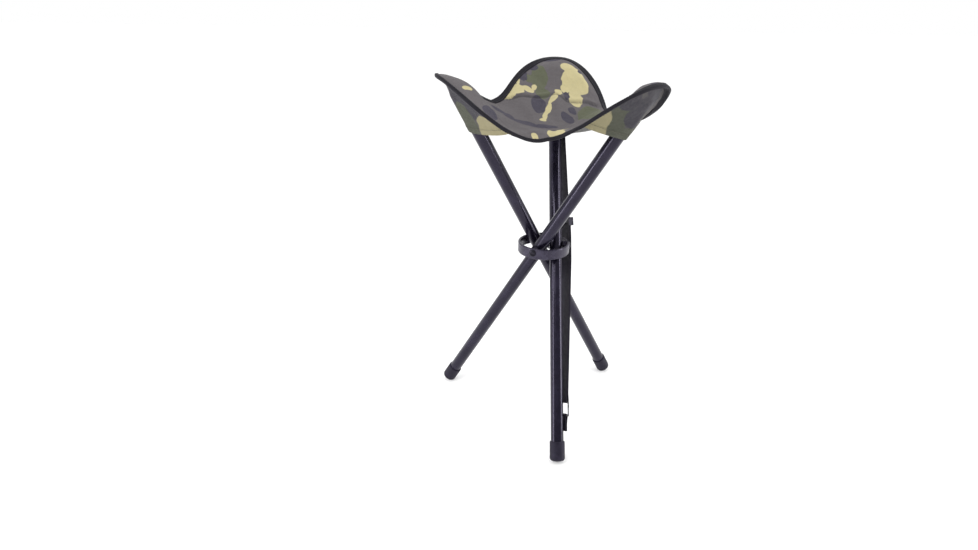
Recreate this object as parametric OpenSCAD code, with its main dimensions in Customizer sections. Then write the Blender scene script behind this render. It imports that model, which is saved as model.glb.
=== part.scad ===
// Folding three-leg camp stool. Three tube legs cross inside a hub ring and each turns on a
// radial rivet. A three-cornered cloth seat holds the leg tops in a pocket under each corner,
// and a webbing carry strap runs down the front leg, outside the ring.
// Millimetres, +Z up, origin on the floor on the vertical axis of the hub, front at -Y.

/* [Legs] */
// Outer diameter of the leg tube
tube_d = 20; // [18:0.5:20]
// Wall thickness of the leg tube
tube_wall = 1.2; // [1:0.1:1.6]
// Pivot to the bottom of the foot cap, along the leg
lower_len = 337; // [320:1:360]
// Pivot to the top edge of the tube, along the leg
upper_len = 284; // [282:1:285]
// Lean of an open leg from the vertical, in degrees
lean = 30.5; // [30:0.25:31]
// Outer diameter of the rubber foot cap
cap_d = 23.5; // [21:0.5:24]
// Height of the rubber foot cap along the leg
cap_len = 30; // [26:1:36]

/* [Hub] */
// Distance from the axis of the hub to the axis of each leg
leg_offset = 19.5; // [19.5:0.25:20]
// Outer diameter of the hub ring
hub_d = 82; // [81:0.5:83]
// Height of the hub ring
hub_h = 17; // [15:1:18]
// Wall thickness of the hub ring
hub_wall = 4; // [3.5:0.25:4.5]
// Diameter of the pivot rivets
rivet_d = 6; // [5:0.5:7]

/* [Seat] */
// Distance from the axis of the hub to a corner tip of the seat
tip_reach = 174; // [172:1:178]
// Distance from the axis of the hub to the middle of an edge
edge_reach = 105; // [102:1:108]
// Height of a corner tip above the pivots
tip_rise = 270; // [269:1:274]
// Height of the middle of a taut edge above the pivots
edge_rise = 215; // [212:1:218]
// Height of the middle of the seat above the pivots
dish_rise = 178; // [172:1:180]
// Width of the binding tape on each face
binding_w = 10; // [7:0.5:10]

/* [Carry strap] */
// Width of the webbing
strap_w = 26; // [25:1:30]
// Thickness of the webbing
strap_t = 1.4; // [1.2:0.1:1.5]
// Angle of the strap's flat face round the leg, from the pivot axis
strap_turn = 24; // [22:0.5:26]

/* [Hidden] */
$fn = 96;

powder_black = [0.05, 0.05, 0.06];
rubber_grey = [0.12, 0.12, 0.12];
nylon_black = [0.08, 0.08, 0.09];
steel_grey = [0.45, 0.46, 0.48];
cloth_green = [0.30, 0.32, 0.22];
tape_black = [0.10, 0.10, 0.10];
eps = 0.01;

tube_r = tube_d / 2;
cap_r = cap_d / 2;
cap_fillet = 5;
cap_floor = 4;
plug_dome = 5;
plug_shank = 12;

// The stool stands on the rounded rims of its foot caps
pivot_z = (lower_len - cap_fillet) * cos(lean) + (cap_r - cap_fillet) * sin(lean) + cap_fillet;
hub_drop = 1.5;
hub_round = 1.8;
rivet_r = rivet_d / 2;
bore_clear = 0.05;
side_gap = 0.3;
washer_t = 1.9;
inner_washer_t = 1.3;
rivet_head_h = 2.2;
rivet_head_r = 5.5;
rivet_tail_r = 4.5;
boss_r = 6.8;
tube_out = leg_offset + tube_r;
tube_in = leg_offset - tube_r;
boss_face = tube_out + washer_t + 2 * side_gap;
tail_face = tube_in - side_gap - inner_washer_t;

// ---- places ---------------------------------------------------------------------------------

// Direction of the pivot axis of leg i: leg 1 has its foot in front
function turn(i) = [0, -120, 120][i - 1];

// x runs outward along the pivot axis of leg i, z is up, and the pivot plane is at z = 0
module hub_frame(i) {
    translate([0, 0, pivot_z]) rotate([0, 0, turn(i)]) children();
}

// x runs outward along the pivot axis, y faces out and down, and z runs up the leg
module leg_frame(i) {
    hub_frame(i) translate([leg_offset, 0, 0]) rotate([-lean, 0, 0]) children();
}

// x is the outward normal of the strap's face, y runs across its width, z runs up the front leg
module strap_frame() {
    leg_frame(1) rotate([0, 0, strap_turn]) children();
}

// A cylinder along x from x0 to x1
module rod_x(x0, x1, r) {
    translate([x0, 0, 0]) rotate([0, 90, 0]) cylinder(r = r, h = x1 - x0);
}

// ---- hub ------------------------------------------------------------------------------------

module rounded_band(x0, x1, h, r) {
    translate([x0, r - h / 2]) square([x1 - x0, h - 2 * r]);
    translate([x0 + r, -h / 2]) square([x1 - x0 - 2 * r, h]);
    for (x = [x0 + r, x1 - r], y = [r - h / 2, h / 2 - r]) translate([x, y]) circle(r, $fn = 32);
}

module hub_ring() {
    outer = hub_d / 2;
    color(nylon_black) difference() {
        union() {
            translate([0, 0, pivot_z - hub_drop])
                rotate_extrude() rounded_band(outer - hub_wall, outer, hub_h, hub_round);
            for (i = [1:3]) hub_frame(i) rod_x(boss_face, outer, boss_r);
        }
        for (i = [1:3]) hub_frame(i) rod_x(boss_face - 1, outer + 1, rivet_r + bore_clear);
    }
}

// Domed head outside the ring, shank through the leg, and a flat tail in the middle of the hub
module pivot_rivet(i) {
    outer = hub_d / 2;
    dome = [for (a = [0:15:90]) [rivet_head_r * cos(a), 0.6 + (rivet_head_h - 0.6) * sin(a)]];
    color(powder_black) hub_frame(i) {
        rod_x(tail_face - rivet_head_h, outer + eps, rivet_r);
        rod_x(tail_face - rivet_head_h, tail_face, rivet_tail_r);
        translate([outer, 0, 0]) rotate([0, 90, 0])
            rotate_extrude() polygon(concat([[0, 0], [rivet_head_r, 0]], dome));
    }
}

module washer(i, x0, t, r) {
    hub_frame(i) difference() {
        rod_x(x0, x0 + t, r);
        rod_x(x0 - 1, x0 + t + 1, rivet_r + bore_clear);
    }
}

module pivot_washer(i) {
    color(nylon_black) washer(i, tube_out + side_gap, washer_t, 6.5);
}

module inner_washer(i) {
    color(steel_grey) washer(i, tail_face, inner_washer_t, 6);
}

// ---- legs -----------------------------------------------------------------------------------

anchor_s = 200;
tab_rivet_s = -286;
tab_end_s = -292;
strap_rivet_r = 2.4;

module leg_tube(i) {
    bottom = cap_floor - lower_len;
    color(powder_black) leg_frame(i) difference() {
        translate([0, 0, bottom]) cylinder(r = tube_r, h = upper_len - bottom);
        translate([0, 0, bottom - 1]) cylinder(r = tube_r - tube_wall, h = upper_len - bottom + 2);
        rod_x(-tube_d, tube_d, rivet_r + bore_clear);
        if (i == 1)
            for (s = [anchor_s, tab_rivet_s])
                rotate([0, 0, strap_turn]) translate([0, 0, s]) rod_x(0, tube_d, strap_rivet_r);
    }
}

module foot_cap(i) {
    fillet = [for (a = [0:10:90])
        [cap_r - cap_fillet + cap_fillet * sin(a), cap_fillet * (1 - cos(a))]];
    top = [[cap_r, cap_len - 1], [cap_r - 0.8, cap_len], [tube_r, cap_len]];
    inside = [[tube_r, cap_floor], [0, cap_floor]];
    color(rubber_grey) leg_frame(i) translate([0, 0, -lower_len])
        rotate_extrude() polygon(concat([[0, 0]], fillet, top, inside));
}

// Shank in the tube and a low dome over its end
module top_plug(i) {
    dome = [for (a = [0:10:90]) [tube_r * cos(a), 1 + (plug_dome - 1) * sin(a)]];
    color(nylon_black) leg_frame(i) translate([0, 0, upper_len]) {
        rotate_extrude() polygon(concat([[0, 0], [tube_r, 0]], dome));
        translate([0, 0, -plug_shank]) cylinder(r = tube_r - tube_wall, h = plug_shank);
    }
}

// ---- seat -----------------------------------------------------------------------------------

// The panel is a height field over the floor plan. It is a shallow dish in the middle, turns up
// along the upper side of each leg, and flares out past the leg tops as a brim. Near the rim it
// is drawn to the rim's own height, so the slack edges roll over and hang.

panel_t = 2.4;
leg_cover = 4.2;
brim_rise = 262;
brim_slope = 0.41;
brim_fall = 0.012;
brim_half = 10;
brim_start = 140;
dish_power = 1.6;
lobe_power = 1.7;
lobe_share = 0.45;
rim_power = 1.1;
rim_pull = 6;
tip_pull = 8;
tip_swing = asin((leg_offset + 2.5) / tip_reach);
grid_turns = 72;
ring_shares = [0.15, 0.3, 0.44, 0.56, 0.66, 0.72, 0.78, 0.84, 0.9];

// How the cloth of each corner sits off the even shape: swing round the hub in degrees, then
// extra reach, extra rise, roll (one side up, the other down) and skew (one side out, one in)
corner_off = [[-4.3, 1, 1, 7, -10], [-2.4, -5, -7, -1, 12], [4.7, 2.5, -5, -12, -2]];
// Extra reach and rise in the middle of the edge anticlockwise of each corner
edge_off = [[3.8, 0.5], [7.6, -31], [12.8, -22]];

function tip_angle(i) = turn(i) + 90 - tip_swing;
function wrap180(a) = a - 360 * round(a / 360);
function from_tip(a, i) = wrap180(a - tip_angle(i));
function nearest(a) = abs(from_tip(a, 1)) <= 60 ? 1 : abs(from_tip(a, 2)) <= 60 ? 2 : 3;

// The rim at angle a as [reach, rise above the pivots, share of the way from edge to tip]
function rim(a) = let (
        i = nearest(a), c = corner_off[i - 1], s = from_tip(a, i) - c[0], side = sign(s),
        share = abs(s) / (60 - side * c[0]), e = edge_off[(side > 0 ? i : i % 3 + 1) - 1],
        lobe = pow(pow(cos(90 * min(share, 1)), 2), rim_power), twist = side * sin(180 * share),
        edge = [edge_reach + e[0], edge_rise + e[1], 0], tip = [tip_reach + c[1], tip_rise + c[2], 1])
    edge + (tip - edge) * lobe + [c[4], c[3], 0] * twist;

function smooth_max(a, b, k) = (a + b + sqrt((a - b) * (a - b) + k * k)) / 2;
function smooth_min(a, b, k) = (a + b - sqrt((a - b) * (a - b) + k * k)) / 2;

// Distances from the hub axis along the lean of leg i, and sideways from its axis
function along(a, r, i) = r * cos(a - turn(i) - 90);
function beside(a, r, i) = r * cos(a - turn(i)) - leg_offset;

// The open dish, which in a lobe runs straight up to the rim instead
function dish_z(r) = dish_rise + (edge_rise - dish_rise) * pow(r / edge_reach, dish_power);
function lobe_z(r, edge) = dish_rise + (edge[1] - dish_rise) * pow(r / edge[0], lobe_power);
function eased(t) = t * t * (3 - 2 * t);
function bowl_z(r, edge) = dish_z(r)
    + (lobe_z(r, edge) - dish_z(r)) * eased(min(edge[2] / lobe_share, 1));
function over_leg_z(p) = (p * cos(lean) + tube_r) / sin(lean) + leg_cover;
function brim_z(p, q) = brim_rise + brim_slope * (p - brim_start)
    - brim_fall * pow(max(abs(q) - brim_half, 0), 2);
function corner_z(a, r, i) =
    smooth_min(over_leg_z(along(a, r, i)), brim_z(along(a, r, i), beside(a, r, i)), 4);
function field_z(a, r, edge) =
    smooth_max(bowl_z(r, edge), max([for (i = [1:3]) corner_z(a, r, i)]), 6);

// Height of the panel's upper face
function top_z(a, r) = let (edge = rim(a))
    field_z(a, r, edge)
        + (edge[1] - field_z(a, edge[0], edge)) * pow(r / edge[0], rim_pull + tip_pull * edge[2]);

function at(a, r, z) = [r * cos(a), r * sin(a), pivot_z + z];
function grid_angle(k) = tip_angle(1) + k * 360 / grid_turns;

tape_lip = 0.8;
tape_t = 1;
function ring_radii(a) = let (reach = rim(a)[0])
    concat(ring_shares * reach, [reach - binding_w, reach - tape_lip]);
ring_count = len(ring_shares) + 2;

// Triangles between ring j and ring j + 1 of a grid whose rings have m points each
function band(j, m, flip, base = 0) = [for (k = [0:m - 1])
    let (p = base + j * m + k, q = base + j * m + (k + 1) % m, r = p + m, s = q + m)
    each (flip ? [[p, q, s], [p, s, r]] : [[p, s, q], [p, r, s]])];

module seat_panel() {
    m = grid_turns;
    face = ring_count * m;
    upper = [for (j = [0:ring_count - 1], k = [0:m - 1])
        let (a = grid_angle(k), r = ring_radii(a)[j]) at(a, r, top_z(a, r))];
    lower = [for (p = upper) p - [0, 0, panel_t]];
    middle = [at(0, 0, top_z(0, 0)), at(0, 0, top_z(0, 0) - panel_t)];
    top_faces = [for (j = [0:ring_count - 2]) each band(j, m, false)];
    low_faces = [for (j = [0:ring_count - 2]) each band(j, m, true, face)];
    top_middle = [for (k = [0:m - 1]) [2 * face, k, (k + 1) % m]];
    low_middle = [for (k = [0:m - 1]) [2 * face + 1, face + (k + 1) % m, face + k]];
    edge = [for (k = [0:m - 1])
        let (p = face - m + k, q = face - m + (k + 1) % m, r = p + face, s = q + face)
        each [[p, r, s], [p, s, q]]];
    all_faces = concat(top_faces, low_faces, top_middle, low_middle, edge);
    color(cloth_green)
        polyhedron(concat(upper, lower, middle), [for (f = all_faces) [f[0], f[2], f[1]]]);
}

// Tape folded round the edge of the panel: a C-shaped section swept round the rim
module edge_binding() {
    m = grid_turns;
    section = function(a) let (
            reach = rim(a)[0], r_in = reach - binding_w, r_lip = reach - tape_lip,
            r_out = reach + tape_lip, z_in = top_z(a, r_in), z_lip = top_z(a, r_lip),
            z_out = rim(a)[1])
        [at(a, r_in, z_in + tape_t), at(a, r_out, z_out + tape_t),
         at(a, r_out, z_out - panel_t - tape_t), at(a, r_in, z_in - panel_t - tape_t),
         at(a, r_in, z_in - panel_t), at(a, r_lip, z_lip - panel_t),
         at(a, r_lip, z_lip), at(a, r_in, z_in)];
    points = [for (k = [0:m - 1]) each section(grid_angle(k))];
    faces = [for (k = [0:m - 1], c = [0:7])
        let (p = 8 * k + c, q = 8 * k + (c + 1) % 8, r = 8 * ((k + 1) % m) + c,
             s = 8 * ((k + 1) % m) + (c + 1) % 8)
        each [[p, s, q], [p, r, s]]];
    color(tape_black) polyhedron(points, faces);
}

pocket_gap = 0.3;
pocket_t = 1.4;
pocket_bottom = 214;
pocket_shoulder = upper_len - 6;
pocket_top = upper_len + plug_dome + pocket_gap;

module u_outline(r, depth) {
    circle(r);
    translate([-r, -depth]) square([2 * r, depth]);
}

// Sleeve round the outer side of the leg top, open towards the panel and closed over the plug
module corner_pocket(i) {
    r_in = tube_r + pocket_gap;
    r_out = r_in + pocket_t;
    color(cloth_green) leg_frame(i) {
        difference() {
            translate([0, 0, pocket_bottom])
                linear_extrude(pocket_shoulder - pocket_bottom) u_outline(r_out, tube_r - 1);
            translate([0, 0, pocket_bottom - 1]) cylinder(r = r_in, h = upper_len);
            translate([-r_in, -2 * tube_r, pocket_bottom - 1]) cube([2 * r_in, 2 * tube_r, upper_len]);
            translate([-2 * tube_r, -3 * tube_r, pocket_bottom - 1])
                cube([4 * tube_r, 2 * tube_r + 1, upper_len]);
        }
        difference() {
            translate([0, 0, pocket_shoulder])
                cylinder(r = r_out, h = pocket_top + pocket_t - pocket_shoulder);
            translate([0, 0, pocket_shoulder - 1]) cylinder(r = r_in, h = pocket_top - pocket_shoulder + 1);
            translate([-2 * tube_r, -2 * tube_r - 3, pocket_shoulder - 1])
                cube([4 * tube_r, 2 * tube_r, 3 * tube_r]);
        }
    }
}

// ---- carry strap ----------------------------------------------------------------------------

wire_r = 1.3;
wire_reach = 13.3;
wire_top_s = -247;
wire_low_s = -268;
wire_half_w = strap_w / 2 + 0.7 + wire_r;
ply = strap_t + 0.2;
fold_r = wire_r + 0.1 + strap_t / 2;
strap_on_leg = tube_r + 0.1 + strap_t / 2;
ring_pass = 25.6;
ring_shift = 10;
ring_pass_top = 20;
ring_pass_low = -22;
low_shift = 3;
tab_w = 18;
slider_s = 41;
slider_half = 6.5;

// A half turn of webbing round a wire at [reach, shift, s], from its inner to its outer side
function fold(reach, shift, s, side) = [for (a = [0:30:180])
    [reach - fold_r * cos(a), shift, s + side * fold_r * sin(a)]];

// Where the straight upper stretch of the strap is at height s
function upper_run(s) = let (f = (s - ring_pass_top) / (anchor_s - 12 - ring_pass_top))
    [ring_pass + (strap_on_leg - ring_pass) * f, ring_shift * (1 - f), s];

// Route of the middle of the webbing in the strap frame: down the leg, round the wire, up again
strap_route = concat(
    [[strap_on_leg, 0, anchor_s + 9], [strap_on_leg, 0, anchor_s], upper_run(anchor_s - 12)],
    [for (s = [150, 100, 60]) upper_run(s)],
    [[ring_pass, ring_shift, ring_pass_top], [ring_pass, ring_shift, ring_pass_low]],
    [[19.2, 6.5, -130], [12.6, 3.2, -234]],
    fold(wire_reach, low_shift, wire_top_s, -1),
    [[12.6 + ply + 0.5, 3.2, -234], [19.2 + ply, 6.5, -130]],
    [[ring_pass + ply, ring_shift, ring_pass_low], [ring_pass + ply, ring_shift, ring_pass_top]],
    [upper_run(slider_s + 3) + [ply, 0, 0]]);

tab_route = concat(
    [[strap_on_leg, 0, tab_end_s], [strap_on_leg, 0, -281]],
    fold(wire_reach, low_shift * 0.8, wire_low_s, 1),
    [[strap_on_leg + ply, 0, -281], [strap_on_leg + ply, 0, tab_end_s]]);

function unit(v) = v / norm(v);

// Webbing of width w and thickness t along a route, with its width always along y
module webbing(route, w, t) {
    last = len(route) - 1;
    points = [for (k = [0:last])
        let (before = route[max(k - 1, 0)], after = route[min(k + 1, last)],
             side = unit(cross([0, 1, 0], unit(after - before))) * t / 2, half = [0, w / 2, 0])
        each [route[k] + side + half, route[k] - side + half,
              route[k] - side - half, route[k] + side - half]];
    walls = [for (k = [0:last - 1], c = [0:3])
        let (p = 4 * k + c, q = 4 * k + (c + 1) % 4)
        each [[p, q, q + 4], [p, q + 4, p + 4]]];
    ends = [[0, 3, 2], [0, 2, 1], [4 * last, 4 * last + 1, 4 * last + 2],
            [4 * last, 4 * last + 2, 4 * last + 3]];
    polyhedron(points, concat(walls, ends));
}

module carry_strap() {
    color(tape_black) strap_frame() difference() {
        webbing(strap_route, strap_w, strap_t);
        translate([0, 0, anchor_s]) rod_x(0, strap_on_leg + 3, strap_rivet_r);
    }
}

module strap_tab() {
    color(tape_black) strap_frame() difference() {
        webbing(tab_route, tab_w, strap_t);
        translate([0, 0, tab_rivet_s]) rod_x(0, strap_on_leg + 5, strap_rivet_r);
    }
}

// Blind rivet through the webbing and the near wall of the tube
module strap_rivet(s, face, head_r) {
    tail = tube_r - tube_wall - 1;
    color(steel_grey) strap_frame() translate([0, 0, s]) {
        rod_x(tail - 1.5, tail, strap_rivet_r + 1);
        rod_x(tail - eps, face + eps, strap_rivet_r);
        rod_x(face, face + 1.2, head_r);
        rod_x(face + 1.2 - eps, face + 1.8, head_r - 1);
    }
}

module strap_top_rivet() {
    strap_rivet(anchor_s, strap_on_leg + strap_t / 2, 5);
}

module strap_tab_rivet() {
    strap_rivet(tab_rivet_s, strap_on_leg + ply + strap_t / 2, 4.5);
}

// Rectangular loop of round wire
module strap_ring() {
    color(steel_grey) strap_frame() translate([wire_reach, low_shift, 0]) {
        for (s = [wire_top_s, wire_low_s])
            translate([0, -wire_half_w, s]) rotate([-90, 0, 0]) cylinder(r = wire_r, h = 2 * wire_half_w);
        for (y = [-wire_half_w, wire_half_w])
            translate([0, y, wire_low_s]) cylinder(r = wire_r, h = wire_top_s - wire_low_s);
        for (y = [-wire_half_w, wire_half_w], s = [wire_top_s, wire_low_s])
            translate([0, y, s]) sphere(wire_r);
    }
}

// Tri-glide slider: two side rails, two bars over the webbing and one bar behind it
module strap_slider() {
    run = unit(upper_run(100) - upper_run(60));
    clear = 0.5;
    bar = 2.3;
    rail_w = 2.4;
    over = strap_t / 2 + ply + clear;
    behind = -strap_t / 2 - clear;
    rail_y = strap_w / 2 + 0.9;
    color(nylon_black) strap_frame() translate(upper_run(slider_s))
        rotate([-asin(run[1]), atan2(run[0], run[2]), 0]) {
            for (y = [-rail_y - rail_w, rail_y])
                translate([behind - bar, y, -slider_half])
                    cube([over + bar - behind + bar, rail_w, 2 * slider_half]);
            for (z = [-slider_half, slider_half - 3])
                translate([over, -rail_y - eps, z]) cube([bar, 2 * (rail_y + eps), 3]);
            translate([behind - bar, -rail_y - eps, -1.5]) cube([bar, 2 * (rail_y + eps), 3]);
        }
}

// ---- nodes ----------------------------------------------------------------------------------

hub_ring();
for (i = [1:3]) pivot_rivet(i);
for (i = [1:3]) pivot_washer(i);
for (i = [1:3]) inner_washer(i);
for (i = [1:3]) leg_tube(i);
for (i = [1:3]) foot_cap(i);
for (i = [1:3]) top_plug(i);
for (i = [1:3]) corner_pocket(i);
seat_panel();
edge_binding();
carry_strap();
strap_slider();
strap_ring();
strap_tab();
strap_top_rivet();
strap_tab_rivet();
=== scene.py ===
"""A three leg stool with a camouflage sling seat: the soft goods, finishes, camera and light.

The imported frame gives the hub, legs, caps, slider and rivets. This script sews the seat, its binding,
its three corner pockets and the carry strap round them. Sizes are in millimetres and angles in degrees
unless a name says otherwise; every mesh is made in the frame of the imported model, with the origin on the
floor on the hub's axis, +Z up and the front towards -Y.
"""

import math

import bpy
import numpy as np
from mathutils import Matrix, Vector


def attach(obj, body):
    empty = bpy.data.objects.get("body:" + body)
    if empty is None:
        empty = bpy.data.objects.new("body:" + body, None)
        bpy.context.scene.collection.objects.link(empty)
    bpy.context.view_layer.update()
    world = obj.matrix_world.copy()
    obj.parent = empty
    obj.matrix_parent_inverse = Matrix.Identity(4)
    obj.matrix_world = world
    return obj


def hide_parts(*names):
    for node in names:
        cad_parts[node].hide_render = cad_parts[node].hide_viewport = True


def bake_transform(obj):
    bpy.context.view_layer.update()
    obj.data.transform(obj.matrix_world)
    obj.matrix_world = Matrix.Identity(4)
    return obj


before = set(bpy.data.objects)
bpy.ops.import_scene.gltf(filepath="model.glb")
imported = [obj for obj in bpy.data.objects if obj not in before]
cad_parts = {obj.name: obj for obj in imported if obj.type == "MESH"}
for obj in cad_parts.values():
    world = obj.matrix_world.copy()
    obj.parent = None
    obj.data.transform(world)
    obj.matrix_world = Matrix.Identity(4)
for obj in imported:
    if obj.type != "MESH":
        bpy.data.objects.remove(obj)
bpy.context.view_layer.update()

MM = 0.001

# ---------------------------------------------------------------- the frame's own sizes

LEAN = math.radians(30.5)
PIVOT_Z = 294.487
LEG_OFFSET = 19.5
TUBE_R = 10
TUBE_TOP = 284
LEGS = (1, 2, 3)
LEG_TURN = {1: 0, 2: -120, 3: 120}

# ---------------------------------------------------------------- the seat's shape

TIP_REACH, EDGE_REACH = 174, 105
TIP_RISE, EDGE_RISE, DISH_RISE = 270, 215, 178
LEG_COVER = 4.2
BRIM_RISE, BRIM_SLOPE, BRIM_FALL, BRIM_START, BRIM_HALF = 262, 0.41, 0.012, 140, 10
DISH_POWER, LOBE_POWER, LOBE_SHARE = 1.6, 1.7, 0.45
TIP_SWING = math.degrees(math.asin((LEG_OFFSET + 2.5) / TIP_REACH))
# each corner's swing, reach, rise, roll and skew
CORNER = np.array([[-4.3, 1, 1, 7, -10], [-2.4, -5, -7, -1, 12], [4.7, 2.5, -5, -12, -2]])
# the edge anticlockwise of each corner: reach and rise
EDGE = np.array([[3.8, 0.5], [7.6, -31], [12.8, -22]])
CLOTH_T = 1.5
TAPE_W = 10
TAPE_T = 0.8
POCKET_SPAN = 39
EDGE_ROWS = [22, 17, 13, 10, 8, 6, 4, 2, 0.8, 0]
HEM_S = 224


def wrap(angle):
    return angle - 360 * np.round(angle / 360)


def smooth_max(a, b, width):
    return (a + b + np.sqrt((a - b) ** 2 + width * width)) / 2


def smooth_min(a, b, width):
    return (a + b - np.sqrt((a - b) ** 2 + width * width)) / 2


def smoothstep(x, low, high):
    t = np.clip((x - low) / (high - low), 0, 1)
    return t * t * (3 - 2 * t)


def tip_azimuth(leg):
    return LEG_TURN[leg] + 90 - TIP_SWING


def rim(azimuth):
    """The seat edge's reach from the axis, its rise above the pivots, and its share of lobe, 1 at a tip."""
    azimuth = np.asarray(azimuth, float)
    from_tip = np.stack([wrap(azimuth - tip_azimuth(leg)) for leg in LEGS], -1)
    nearest = np.argmin(np.abs(from_tip), -1)
    corner = CORNER[nearest]
    swung = np.take_along_axis(from_tip, nearest[..., None], -1)[..., 0] - corner[..., 0]
    side = np.sign(swung)
    share = np.clip(np.abs(swung) / (60 - side * corner[..., 0]), 0, 1)
    edge = EDGE[np.where(side > 0, nearest, (nearest + 1) % 3)]
    lobe = np.clip(np.cos(np.radians(90 * share)) ** 2, 0, None) ** 1.1
    twist = side * np.sin(np.radians(180 * share))
    reach = EDGE_REACH + edge[..., 0]
    rise = EDGE_RISE + edge[..., 1]
    reach = reach + (TIP_REACH + corner[..., 1] - reach) * lobe + corner[..., 4] * twist
    rise = rise + (TIP_RISE + corner[..., 2] - rise) * lobe + corner[..., 3] * twist
    return reach, rise, lobe


def field(azimuth, radius):
    """The seat's height above the pivots before its edge is pulled to the rim."""
    reach, rise, lobe = rim(azimuth)
    angle = np.radians(azimuth)
    over_legs = None
    for leg in LEGS:
        turn = math.radians(LEG_TURN[leg])
        along = radius * np.cos(angle - turn - math.pi / 2)
        across = radius * np.cos(angle - turn) - LEG_OFFSET
        ridge = (along * math.cos(LEAN) + TUBE_R) / math.sin(LEAN) + LEG_COVER
        beside = np.maximum(np.abs(across) - BRIM_HALF, 0)
        brim = BRIM_RISE + BRIM_SLOPE * (along - BRIM_START) - BRIM_FALL * beside**2
        over = smooth_min(ridge, brim, 4)
        over_legs = over if over_legs is None else np.maximum(over_legs, over)
    dish = DISH_RISE + (EDGE_RISE - DISH_RISE) * (radius / EDGE_REACH) ** DISH_POWER
    lobed = DISH_RISE + (rise - DISH_RISE) * (radius / reach) ** LOBE_POWER
    bowl = dish + (lobed - dish) * smoothstep(lobe, 0, LOBE_SHARE)
    return smooth_max(bowl, over_legs, 6)


def seat_height(azimuth, radius):
    reach, rise, lobe = rim(azimuth)
    return field(azimuth, radius) + (rise - field(azimuth, reach)) * (radius / reach) ** (6 + 8 * lobe)


# ---------------------------------------------------------------- mesh helpers


def mesh_object(name, points, faces, material, normals=None, flat=None):
    """A mesh from points in millimetres, with a normal for each face corner and a flat place for each."""
    mesh = bpy.data.meshes.new(name)
    mesh.from_pydata((np.asarray(points, float) * MM).tolist(), [], [list(map(int, f)) for f in faces])
    mesh.polygons.foreach_set("use_smooth", [True] * len(mesh.polygons))
    if flat is not None:
        attribute = mesh.attributes.new("flat", "FLOAT_VECTOR", "POINT")
        attribute.data.foreach_set("vector", np.asarray(flat, np.float32).ravel())
    if normals is not None:
        mesh.normals_split_custom_set(normals)
    mesh.materials.append(material)
    mesh.update()
    made = bpy.data.objects.new(name, mesh)
    bpy.context.collection.objects.link(made)
    return made


def grid_faces(rows, columns, first=0, flip=False, closed=False):
    """Quads over a grid of points numbered row by row; closed joins the last column to the first."""
    faces = []
    for row in range(rows - 1):
        for column in range(columns if closed else columns - 1):
            after = (column + 1) % columns
            corners = [
                first + row * columns + column,
                first + row * columns + after,
                first + (row + 1) * columns + after,
                first + (row + 1) * columns + column,
            ]
            faces.append(corners[::-1] if flip else corners)
    return faces


def unit(vectors):
    return vectors / np.maximum(np.linalg.norm(vectors, axis=-1, keepdims=True), 1e-9)


def grid_normals(points, closed_rows=False):
    """Unit normals of a grid of points, row direction crossed with column direction."""
    if closed_rows:
        by_row = np.roll(points, -1, 0) - np.roll(points, 1, 0)
    else:
        by_row = np.gradient(points, axis=0)
    return unit(np.cross(by_row, np.gradient(points, axis=1)))


def thick_sheet(name, outer, inner, normal, flat, material, flip=False):
    """A closed sheet between two grids of points, with smooth sides and square edges."""
    rows, columns = outer.shape[:2]
    count = rows * columns
    points = np.concatenate([outer.reshape(-1, 3), inner.reshape(-1, 3)])
    over = grid_faces(rows, columns, 0, flip)
    under = grid_faces(rows, columns, count, not flip)
    index = np.arange(count).reshape(rows, columns)
    loop = np.concatenate([index[0], index[1:, -1], index[-1, -2::-1], index[-2:0:-1, 0]])
    walls = []
    for here, after in zip(loop, np.roll(loop, -1)):
        corners = [here, here + count, after + count, after]
        walls.append(corners[::-1] if flip else corners)
    up = normal.reshape(-1, 3)
    normals = [tuple(up[i]) for face in over for i in face]
    normals += [tuple(-up[i - count]) for face in under for i in face]
    for face in walls:
        a, b, c, d = (points[i] for i in face)
        out = unit(np.cross(c - a, d - b))
        normals += [tuple(out)] * 4
    both = np.concatenate([flat.reshape(-1, 3), flat.reshape(-1, 3)])
    both[count:, 2] = 0
    return mesh_object(name, points, over + under + walls, material, normals=normals, flat=both)


# ---------------------------------------------------------------- node helpers


def new_material(name):
    material = bpy.data.materials.new(name)
    material.use_nodes = True
    tree = material.node_tree
    return material, tree, tree.nodes["Principled BSDF"]


def add(tree, kind, inputs=None, **settings):
    """A node with its settings, and its inputs set by a value or linked from a socket."""
    made = tree.nodes.new(kind)
    for key, value in settings.items():
        setattr(made, key, value)
    for key, value in (inputs or {}).items():
        if isinstance(value, bpy.types.NodeSocket):
            tree.links.new(value, made.inputs[key])
        else:
            made.inputs[key].default_value = value
    return made


def maths(tree, operation, a, b=0.0, c=0.0):
    return add(tree, "ShaderNodeMath", {0: a, 1: b, 2: c}, operation=operation).outputs[0]


def mix(tree, share, a, b):
    made = add(tree, "ShaderNodeMix", data_type="RGBA")
    for socket, value in zip((made.inputs[0], made.inputs[6], made.inputs[7]), (share, a, b)):
        if isinstance(value, bpy.types.NodeSocket):
            tree.links.new(value, socket)
        else:
            socket.default_value = value
    return made.outputs[2]


def noise(tree, vector, scale, detail=3.0, roughness=0.5):
    values = {"Vector": vector, "Scale": scale, "Detail": detail, "Roughness": roughness}
    return add(tree, "ShaderNodeTexNoise", values)


def ramp(tree, value, low, high, at_low=0.0, at_high=1.0, kind="SMOOTHSTEP"):
    values = {"Value": value, "From Min": low, "From Max": high, "To Min": at_low, "To Max": at_high}
    return add(tree, "ShaderNodeMapRange", values, interpolation_type=kind).outputs[0]


def place(tree):
    return add(tree, "ShaderNodeTexCoord").outputs["Object"]


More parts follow.
